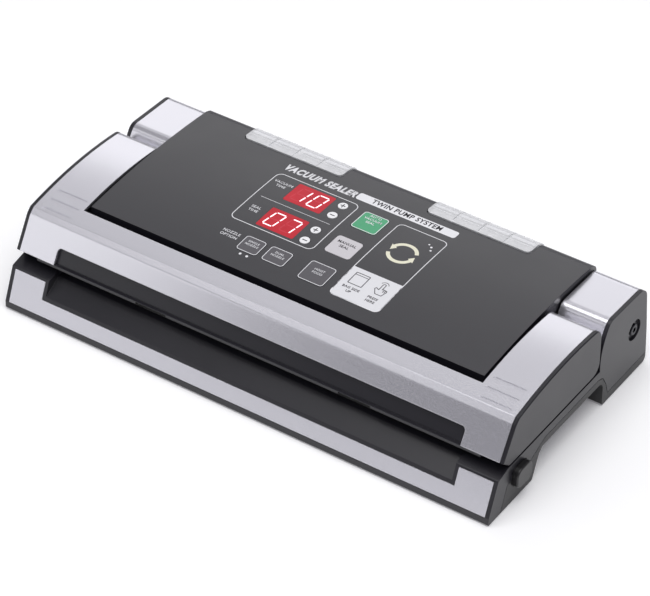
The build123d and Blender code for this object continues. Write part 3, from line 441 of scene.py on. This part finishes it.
def makeFloor():
    bm = bmesh.new()
    bmesh.ops.create_grid(bm, x_segments=1, y_segments=1, size=6.0)
    mesh = bpy.data.meshes.new("floor")
    bm.to_mesh(mesh)
    bm.free()
    floor = bpy.data.objects.new("floor", mesh)
    scene.collection.objects.link(floor)
    paint = Paint("floorPale")
    level = lightSettings["floorShade"]
    cloud = paint.noise(0.8, 2.0)
    tone = paint.mix(cloud, (level, level, level), (level + 0.01, level + 0.01, level + 0.012))
    mesh.materials.append(paint.surface(**{"Base Color": tone, "Roughness": 0.9,
                                           "Emission Color": lightSettings["floorTint"],
                                           "Emission Strength": lightSettings["floorGlow"]}))


makeFloor()
print("materials are made")


# printing on the control panel

inks = {name: overlay(name) for name in ("inkWhite", "inkPale", "inkDark", "inkCream")}
inks["digitLight"] = digitLight()
inks["segmentDark"] = segmentDark()
printSettings = {"lift": 0.03 * mm, "liftOnInk": 0.10 * mm, "thick": 0.04 * mm, "step": 6 * mm,
                 "line": 0.6 * mm}
rayStart = 50 * mm      # how far above a piece the drop onto its surface begins
trees = {}


def surfaceTree(name):
    if name not in trees:
        mesh = nodes[name].data
        trees[name] = BVHTree.FromPolygons([v.co for v in mesh.vertices],
                                           [tuple(p.vertices) for p in mesh.polygons])
    return trees[name]


def midOf(name):
    low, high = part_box(name)
    return (low + high) / 2


def layOn(bm, node, lift):
    # cuts the flat shape into short strips, then drops it onto the crowned surface
    ys = [v.co.y for v in bm.verts]
    step = printSettings["step"]
    y = min(ys) + step
    while y < max(ys):
        geom = bm.verts[:] + bm.edges[:] + bm.faces[:]
        bmesh.ops.bisect_plane(bm, geom=geom, plane_co=(0, y, 0), plane_no=(0, 1, 0))
        y += step
    tree = surfaceTree(node)
    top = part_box(node)[1].z
    for v in bm.verts:
        hit = tree.ray_cast(Vector((v.co.x, v.co.y, top + rayStart)), Vector((0, 0, -1)))[0]
        v.co.z = (hit.z if hit else top) + lift
    bmesh.ops.recalc_face_normals(bm, faces=bm.faces[:])
    for face in bm.faces:
        if face.normal.z < 0:
            face.normal_flip()
    bmesh.ops.solidify(bm, geom=bm.faces[:], thickness=printSettings["thick"])


def finish(bm, name, ink, body):
    bmesh.ops.remove_doubles(bm, verts=bm.verts[:], dist=0.002 * mm)
    bmesh.ops.recalc_face_normals(bm, faces=bm.faces[:])
    mesh = bpy.data.meshes.new(name)
    bm.to_mesh(mesh)
    bm.free()
    piece = bpy.data.objects.new(name, mesh)
    scene.collection.objects.link(piece)
    mesh.materials.append(inks[ink])
    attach(piece, body)
    return piece


def addPlate(bm, x, y, width, height, radius, line=None):
    # a flat rounded rectangle, or with a line width only its outline
    before = set(bm.verts)
    grid = bmesh.ops.create_grid(bm, x_segments=1, y_segments=1, size=0.5)["verts"]
    bmesh.ops.scale(bm, vec=(width, height, 1), verts=grid)
    bmesh.ops.translate(bm, vec=(x, y, 0), verts=grid)
    if radius > 0:
        bmesh.ops.bevel(bm, geom=grid, offset=radius, offset_type="OFFSET", affect="VERTICES", segments=6,
                        profile=0.5, material=-1)
    made = [v for v in bm.verts if v not in before]
    faces = list({f for v in made for f in v.link_faces})
    if line:
        bmesh.ops.inset_region(bm, faces=faces, thickness=line, use_even_offset=True, use_boundary=True)
        bmesh.ops.delete(bm, geom=faces, context="FACES_ONLY")
    return made


def addDisc(bm, x, y, radius, segments=32):
    made = bmesh.ops.create_circle(bm, cap_ends=True, radius=radius, segments=segments)["verts"]
    bmesh.ops.translate(bm, vec=(x, y, 0), verts=made)


def addBar(bm, start, end, width):
    # a straight stroke with round ends
    a, b = Vector((*start, 0)), Vector((*end, 0))
    length = (b - a).length + width
    made = addPlate(bm, 0, 0, length, width, width * 0.49)
    angle = (b - a).to_2d().angle_signed(Vector((1, 0)), 0.0)
    turn = Matrix.Translation((a + b) / 2) @ Matrix.Rotation(angle, 4, "Z")
    bmesh.ops.transform(bm, matrix=turn, verts=made)


def addArc(bm, centre, radius, width, start, end, steps=28):
    # a short radial edge spun into a flat curved stroke
    inner = bm.verts.new((centre[0] + (radius - width / 2) * cos(start),
                          centre[1] + (radius - width / 2) * sin(start), 0))
    outer = bm.verts.new((centre[0] + (radius + width / 2) * cos(start),
                          centre[1] + (radius + width / 2) * sin(start), 0))
    edge = bm.edges.new((inner, outer))
    bmesh.ops.spin(bm, geom=[inner, outer, edge], cent=(*centre, 0), axis=(0, 0, 1), dvec=(0, 0, 0),
                   angle=end - start, steps=steps, use_merge=False, use_duplicate=False)


def addText(bm, words, x, y, height, align="CENTER", shear=0.0, weight=0.02, squeeze=1.0, spread=1.06):
    curve = bpy.data.curves.new("words", "FONT")
    curve.body, curve.align_x, curve.align_y = words, align, "CENTER"
    curve.size, curve.shear, curve.offset = 1.0, shear, weight
    curve.resolution_u, curve.space_line, curve.space_character = 3, 1.15, spread
    holder = bpy.data.objects.new("words", curve)
    scene.collection.objects.link(holder)
    bpy.context.view_layer.update()
    mesh = bpy.data.meshes.new_from_object(holder.evaluated_get(bpy.context.evaluated_depsgraph_get()))
    before = set(bm.verts)
    bm.from_mesh(mesh)
    made = [v for v in bm.verts if v not in before]
    size = height / 0.70
    matrix = Matrix.Translation((x, y, 0)) @ Matrix.Diagonal((size * squeeze, size, 1, 1))
    bmesh.ops.transform(bm, matrix=matrix, verts=made)
    bpy.data.objects.remove(holder)
    bpy.data.curves.remove(curve)
    bpy.data.meshes.remove(mesh)


def printed(name, ink, node, body, draw, lift=printSettings["lift"]):
    bm = bmesh.new()
    draw(bm)
    layOn(bm, node, lift)
    return finish(bm, name, ink, body)


# frames and words on the panel itself

frameSettings = {
    "timer": {"left": 20.0, "right": 6.4, "up": 2.9, "down": 3.1, "radius": 5.0},
    "divider": {"left": 14.2, "right": 0.7, "line": 0.35},
    "info": {"left": 29.3, "width": 40.8, "low": 67.0, "high": 157.5, "split": 99.5, "radius": 4.5},
    "title": {"words": "VACUUM SEALER", "x": -45.0, "y": 167.4, "height": 6.8, "weight": 0.055,
              "shear": 0.22, "squeeze": 0.74, "spread": 1.12},
    "label": {"words": "TWIN PUMP SYSTEM", "x": 28.0, "y": 168.2, "width": 83.0, "height": 8.4, "radius": 2.2,
              "letters": 4.9, "weight": 0.025, "squeeze": 0.84, "spread": 1.1},
    "captions": {"height": 2.5, "up": 2.4, "fromDisplay": 9.5, "fromKey": 20.0},
    "dots": {"across": (6.4, 12.0), "below": 3.0, "radius": 1.0},
    "emblem": {"below": 28.5, "radius": 10.0, "width": 2.8, "starts": (0.12, 1.12), "sweep": 0.74,
               "tip": 0.16},
    "sparks": ((-10.5, -9.5, 0.7), (-7.6, -11.5, 0.9), (-6.0, -15.0, 0.8)),
    "bagIcon": {"x": 11.3, "y": 22.0, "width": 11.6, "height": 12.6, "radius": 0.8, "line": 0.6, "flap": 3.9,
                "flapHalf": 5.2, "flapLine": 0.5, "words": "BAG SIDE\nUP", "wordsY": 10.0, "letters": 2.2},
    "handIcon": {"x": 29.5, "y": 20.0, "line": 0.55, "tip": (-0.1, 6.2), "tipRadius": 1.1, "tapRadius": 3.0,
                 "words": "PRESS\nHERE", "wordsY": 9.2, "letters": 2.2},
}


def fromFront(distance):
    return cadLow.y + distance * mm


def displayBlock():
    lowA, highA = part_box("display_window_vacuum")
    lowB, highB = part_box("display_window_seal")
    return min(lowA.x, lowB.x), max(highA.x, highB.x), lowB.y, highA.y


def drawTimerFrame(bm):
    own = frameSettings["timer"]
    left, _, low, high = displayBlock()
    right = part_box("key_seal_plus")[1].x + own["right"] * mm
    left -= own["left"] * mm
    high, low = high + own["up"] * mm, low - own["down"] * mm
    addPlate(bm, (left + right) / 2, (low + high) / 2, right - left, high - low, own["radius"] * mm,
             printSettings["line"])


def drawDivider(bm):
    own = frameSettings["divider"]
    left = displayBlock()[0]
    y = (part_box("display_window_vacuum")[0].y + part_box("display_window_seal")[1].y) / 2
    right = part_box("key_seal_plus")[1].x
    addBar(bm, (left - own["left"] * mm, y), (right + own["right"] * mm, y), own["line"] * mm)


def infoBox():
    own = frameSettings["info"]
    return own["left"] * mm, (own["left"] + own["width"]) * mm, fromFront(own["low"]), fromFront(own["high"])


def drawInfoFrame(bm):
    left, right, low, high = infoBox()
    addPlate(bm, (left + right) / 2, (low + high) / 2, right - left, high - low,
             frameSettings["info"]["radius"] * mm, printSettings["line"])


def drawInfoFill(bm):
    left, right, low, high = infoBox()
    split = fromFront(frameSettings["info"]["split"])
    made = addPlate(bm, (left + right) / 2, (low + high) / 2, right - left, high - low,
                    frameSettings["info"]["radius"] * mm)
    edges, faces = {e for v in made for e in v.link_edges}, {f for v in made for f in v.link_faces}
    bmesh.ops.bisect_plane(bm, geom=[*made, *edges, *faces], plane_co=(0, split, 0), plane_no=(0, 1, 0),
                           clear_outer=True)


def drawEmblem(bm):
    # two arrows chasing round a ring
    left, right, _, high = infoBox()
    own = frameSettings["emblem"]
    centre = ((left + right) / 2, high - own["below"] * mm)
    radius, width = own["radius"] * mm, own["width"] * mm
    for turn in own["starts"]:
        start, end = turn * pi, (turn + own["sweep"]) * pi
        tip = end + own["tip"] * pi
        addArc(bm, centre, radius, width, start, end)
        points = [(radius - width, end), (radius + width, end), (radius, tip)]
        corners = [bm.verts.new((centre[0] + r * cos(a), centre[1] + r * sin(a), 0)) for r, a in points]
        bm.faces.new(corners)


def drawTitle(bm):
    own = frameSettings["title"]
    addText(bm, own["words"], own["x"] * mm, fromFront(own["y"]), own["height"] * mm, shear=own["shear"],
            weight=own["weight"], squeeze=own["squeeze"], spread=own["spread"])


def drawLabel(bm):
    own = frameSettings["label"]
    addPlate(bm, own["x"] * mm, fromFront(own["y"]), own["width"] * mm, own["height"] * mm,
             own["radius"] * mm)


def drawLabelWords(bm):
    own = frameSettings["label"]
    addText(bm, own["words"], own["x"] * mm, fromFront(own["y"]), own["letters"] * mm, weight=own["weight"],
            squeeze=own["squeeze"], spread=own["spread"])


def drawCaptions(bm):
    own = frameSettings["captions"]
    up, height = own["up"] * mm, own["height"] * mm
    x = displayBlock()[0] - own["fromDisplay"] * mm
    for words, node in (("VACUUM\nTIME", "display_window_vacuum"), ("SEAL\nTIME", "display_window_seal")):
        addText(bm, words, x, midOf(node).y + up, height)
    single = midOf("key_single_nozzle")
    addText(bm, "NOZZLE\nOPTION", single.x - own["fromKey"] * mm, single.y + up, height)


def drawDots(bm):
    own = frameSettings["dots"]
    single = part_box("key_single_nozzle")[0]
    for x in own["across"]:
        addDisc(bm, single.x + x * mm, single.y - own["below"] * mm, own["radius"] * mm, 20)


def drawBagIcon(bm):
    own = frameSettings["bagIcon"]
    left, _, low, _ = infoBox()
    x, y = left + own["x"] * mm, low + own["y"] * mm
    addPlate(bm, x, y, own["width"] * mm, own["height"] * mm, own["radius"] * mm, own["line"] * mm)
    half, flap = own["flapHalf"] * mm, y + own["flap"] * mm
    addBar(bm, (x - half, flap), (x + half, flap), own["flapLine"] * mm)
    addText(bm, own["words"], x, low + own["wordsY"] * mm, own["letters"] * mm)


def drawHandIcon(bm):
    # a pointing finger over a folded palm
    own = frameSettings["handIcon"]
    left, _, low, _ = infoBox()
    x, y = left + own["x"] * mm, low + own["y"] * mm
    line = own["line"] * mm
    strokes = [((-1.2, 0.5), (-1.2, 6.2)), ((1.0, 1.5), (1.0, 6.2)), ((-1.2, 0.5), (-3.6, 1.6)),
               ((-3.6, 1.6), (-4.3, 0.4)), ((-4.3, 0.4), (-1.4, -4.2)), ((-1.4, -4.2), (3.6, -4.2)),
               ((3.6, -4.2), (5.0, 0.8)), ((5.0, 0.8), (4.4, 2.0)), ((4.4, 2.0), (1.0, 2.2)),
               ((2.4, 2.0), (2.4, -0.4)), ((3.7, 1.9), (3.7, -0.6))]
    for start, end in strokes:
        addBar(bm, (x + start[0] * mm, y + start[1] * mm), (x + end[0] * mm, y + end[1] * mm), line)
    tip = (x + own["tip"][0] * mm, y + own["tip"][1] * mm)
    addArc(bm, tip, own["tipRadius"] * mm, line, 0, pi, 10)
    addArc(bm, tip, own["tapRadius"] * mm, line * 0.8, 0.1 * pi, 0.9 * pi, 12)
    addText(bm, own["words"], x, low + own["wordsY"] * mm, own["letters"] * mm)


def drawSparks(bm):
    _, right, _, high = infoBox()
    for dx, dy, radius in frameSettings["sparks"]:
        addDisc(bm, right + dx * mm, high + dy * mm, radius * mm, 12)


def makePanelPrint():
    panel = "control_panel"
    for name, ink, draw in (
        ("print_timer_frame", "inkWhite", drawTimerFrame), ("print_divider", "inkWhite", drawDivider),
        ("print_info_frame", "inkWhite", drawInfoFrame), ("print_info_fill", "inkPale", drawInfoFill),
        ("print_emblem", "inkCream", drawEmblem), ("print_sparks", "inkWhite", drawSparks),
        ("print_title", "inkWhite", drawTitle), ("print_label", "inkWhite", drawLabel),
        ("print_captions", "inkPale", drawCaptions), ("print_dots", "inkWhite", drawDots),
    ):
        printed(name, ink, panel, "lid", draw)
    for name, draw in (("print_label_words", drawLabelWords), ("print_bag_icon", drawBagIcon),
                       ("print_hand_icon", drawHandIcon)):
        printed(name, "inkDark", panel, "lid", draw, printSettings["liftOnInk"])   # over the white areas


makePanelPrint()
print("panel printing is on")


# legends that move with their keys

legendSettings = {"lineStep": 0.8, "rimInset": 0.2, "rimRadius": 2.4}
signSettings = {"half": 1.7, "line": 0.8, "near": 0.5, "far": 1.9}
keySettings = {
    "key_auto": {"words": "AUTO\nVACUUM\nSEAL", "ink": "inkWhite", "height": 2.3, "rim": 0.6},
    "key_manual": {"words": "MANUAL\nSEAL", "ink": "inkDark", "height": 2.5, "rim": 0.0},
    "key_moist": {"words": "MOIST\nFOOD", "ink": "inkPale", "height": 2.0, "rim": 0.55},
    "key_single_nozzle": {"words": "SINGLE\nNOZZLE", "ink": "inkPale", "height": 1.9, "rim": 0.55},
    "key_dual_nozzle": {"words": "DUAL\nNOZZLE", "ink": "inkPale", "height": 1.9, "rim": 0.55},
}


def makeKeyLegends():
    for key, own in keySettings.items():
        low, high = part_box(key)
        middle = (low + high) / 2

        def words(bm, own=own, middle=middle):
            height = own["height"] * mm
            up = own["words"].count("\n") * legendSettings["lineStep"] * height
            addText(bm, own["words"], middle.x, middle.y + up, height)

        def rim(bm, own=own, low=low, high=high, middle=middle):
            inset = legendSettings["rimInset"] * mm
            addPlate(bm, middle.x, middle.y, high.x - low.x - inset, high.y - low.y - inset,
                     legendSettings["rimRadius"] * mm, own["rim"] * mm)

        printed("legend_" + key[4:], own["ink"], key, key, words)
        if own["rim"]:
            printed("rim_" + key[4:], "inkWhite" if key == "key_auto" else "inkPale", key, key, rim)
    for key in ("key_vacuum_plus", "key_vacuum_minus", "key_seal_plus", "key_seal_minus"):
        middle = midOf(key)

        def sign(bm, key=key, middle=middle):
            x, y = middle.x, middle.y
            half, line, near, far = (signSettings[part] * mm for part in ("half", "line", "near", "far"))
            addBar(bm, (x - half, y), (x + half, y), line)
            if key.endswith("plus"):
                addBar(bm, (x, y + near), (x, y + far), line)
                addBar(bm, (x, y - far), (x, y - near), line)

        printed("sign_" + key[4:], "inkDark", key, key, sign)


makeKeyLegends()
print("key legends are on")


# lit segments behind the display windows

digitSettings = {"height": 14.8, "width": 8.4, "pitch": 13.8, "bar": 1.05, "lean": 0.17, "gap": 1.1,
                 "show": {"display_window_vacuum": "10", "display_window_seal": "07"}}
segmentsOf = {"0": "abcdef", "1": "bc", "7": "abc"}


def segmentEnds(letter, width, height):
    w, h = width / 2, height / 2
    return {"a": ((-w, h), (w, h)), "b": ((w, h), (w, 0)), "c": ((w, 0), (w, -h)), "d": ((-w, -h), (w, -h)),
            "e": ((-w, 0), (-w, -h)), "f": ((-w, h), (-w, 0)), "g": ((-w, 0), (w, 0))}[letter]


def drawDigits(bm, node, lit):
    own = digitSettings
    middle = midOf(node)
    width, height = own["width"] * mm, own["height"] * mm
    for i, digit in enumerate(own["show"][node]):
        x = middle.x + (i - 0.5) * own["pitch"] * mm
        for letter in "abcdefg":
            if (letter in segmentsOf[digit]) != lit:
                continue
            a, b = (Vector(end) for end in segmentEnds(letter, width, height))
            gap = (b - a).normalized() * own["gap"] * mm
            ends = [(x + end.x + own["lean"] * end.y, middle.y + end.y) for end in (a + gap, b - gap)]
            addBar(bm, *ends, own["bar"] * mm)


def makeDigits():
    for node in digitSettings["show"]:
        for name, ink, lit in (("digits_", "digitLight", True), ("dark_segments_", "segmentDark", False)):
            printed(name + node.split("_")[-1], ink, node, "lid",
                    lambda bm, node=node, lit=lit: drawDigits(bm, node, lit))


makeDigits()
print("digits are lit")


# details of the clear cups: moulded snap tabs, plus whitish strips and a line that are painted highlights

cupSettings = {
    # window: whitish patches that are a painted highlight strip across each cup; ledge: the line of the inner
    # step, whitened as painted highlight
    "window": {"count": 4, "depth": 5.2, "back": 9.4, "gap": 3.0, "radius": 0.6},
    "ledge": {"back": 7.2, "end": 2.0, "line": 0.5},
    "tab": {"shares": (0.25, 0.62), "size": (3.4, 1.6, 1.1), "back": 1.0, "seat": 0.6, "sink": 0.1,
            "edge": 0.25},
}


def drawCupHighlightStrips(bm, node):
    # whitish patches that paint the bright highlight strip of the clear cup
    own = cupSettings["window"]
    low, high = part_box(node)
    pitch = (high.x - low.x) / own["count"]
    y = low.y + (own["back"] + own["depth"] / 2) * mm
    for i in range(own["count"]):
        addPlate(bm, low.x + (i + 0.5) * pitch, y, pitch - own["gap"] * mm, own["depth"] * mm,
                 own["radius"] * mm)


def drawCupLedgeHighlight(bm, node):
    # a thin whitish line along the cup's inner step: the step is the cup's own, its brightness is a painted
    # highlight
    own = cupSettings["ledge"]
    low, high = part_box(node)
    y, end = low.y + own["back"] * mm, own["end"] * mm
    addBar(bm, (low.x + end, y), (high.x - end, y), own["line"] * mm)


def drawCupTabs(bm, node):
    # snap tabs that stand just proud of the front edge
    own = cupSettings["tab"]
    low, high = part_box(node)
    tree = surfaceTree(node)
    for share in own["shares"]:
        x, y = low.x + share * (high.x - low.x), low.y + own["back"] * mm
        above = Vector((x, y + own["seat"] * mm, high.z + rayStart))
        z = tree.ray_cast(above, Vector((0, 0, -1)))[0].z
        cube = bmesh.ops.create_cube(bm, size=1.0)["verts"]
        bmesh.ops.scale(bm, vec=[side * mm for side in own["size"]], verts=cube)
        bmesh.ops.translate(bm, vec=(x, y, z - own["sink"] * mm), verts=cube)
    bmesh.ops.bevel(bm, geom=bm.edges[:], offset=own["edge"] * mm, offset_type="OFFSET", affect="EDGES",
                    segments=2, profile=0.5, material=-1)


def makeCupDetails():
    # the whiter, less clear moulding gives the snap tabs, and paints the highlight strips and the highlighted
    # inner step on each cup
    inks["frostAndHighlight"] = frostAndHighlightPlastic()
    for side in ("left", "right"):
        node = f"filter_cup_{side}"
        for name, draw in (("cup_windows_", drawCupHighlightStrips), ("cup_ledge_", drawCupLedgeHighlight)):
            printed(name + side, "frostAndHighlight", node, node, lambda bm, draw=draw, node=node: draw(bm, node))
        bm = bmesh.new()
        drawCupTabs(bm, node)
        finish(bm, "cup_tabs_" + side, "frostAndHighlight", node)


makeCupDetails()
print("cup details are on")
